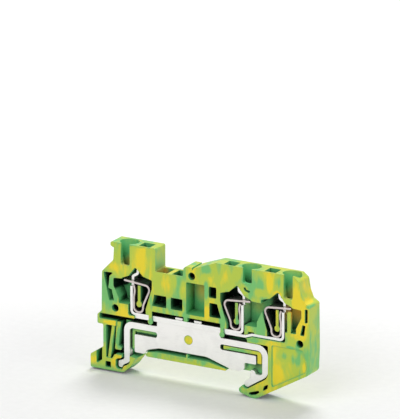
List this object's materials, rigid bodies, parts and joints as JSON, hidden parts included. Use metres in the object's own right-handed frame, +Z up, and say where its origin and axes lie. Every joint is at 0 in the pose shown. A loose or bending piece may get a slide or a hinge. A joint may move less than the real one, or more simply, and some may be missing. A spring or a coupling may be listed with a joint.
{
  "type": "earth terminal block",
  "caption": "Slim earth terminal block with an open side, cage spring clamps on stacked current bars and an earth foot that grips a mounting rail.",
  "frame": {"origin": "middle of the seat on the mounting rail, at half the width of the block", "axes": "+X along the block towards the twin clamps, +Y from the open front to the closed back, +Z up from the rail"},
  "size_m": [0.0638, 0.0061, 0.0351],
  "materials": {
    "housing_plastic": "satin green and yellow marbled polyamide",
    "tinned_bar": "bright tin plating",
    "plated_foot": "bright satin plating",
    "spring_steel": "rolled strip"
  },
  "bodies": {
    "root": {"housing": "housing_plastic", "current_bar": "tinned_bar", "twin_bar": "tinned_bar", "earth_foot": "plated_foot", "left_spring": "spring_steel", "middle_spring": "spring_steel", "right_spring": "spring_steel"}
  },
  "joints": []
}
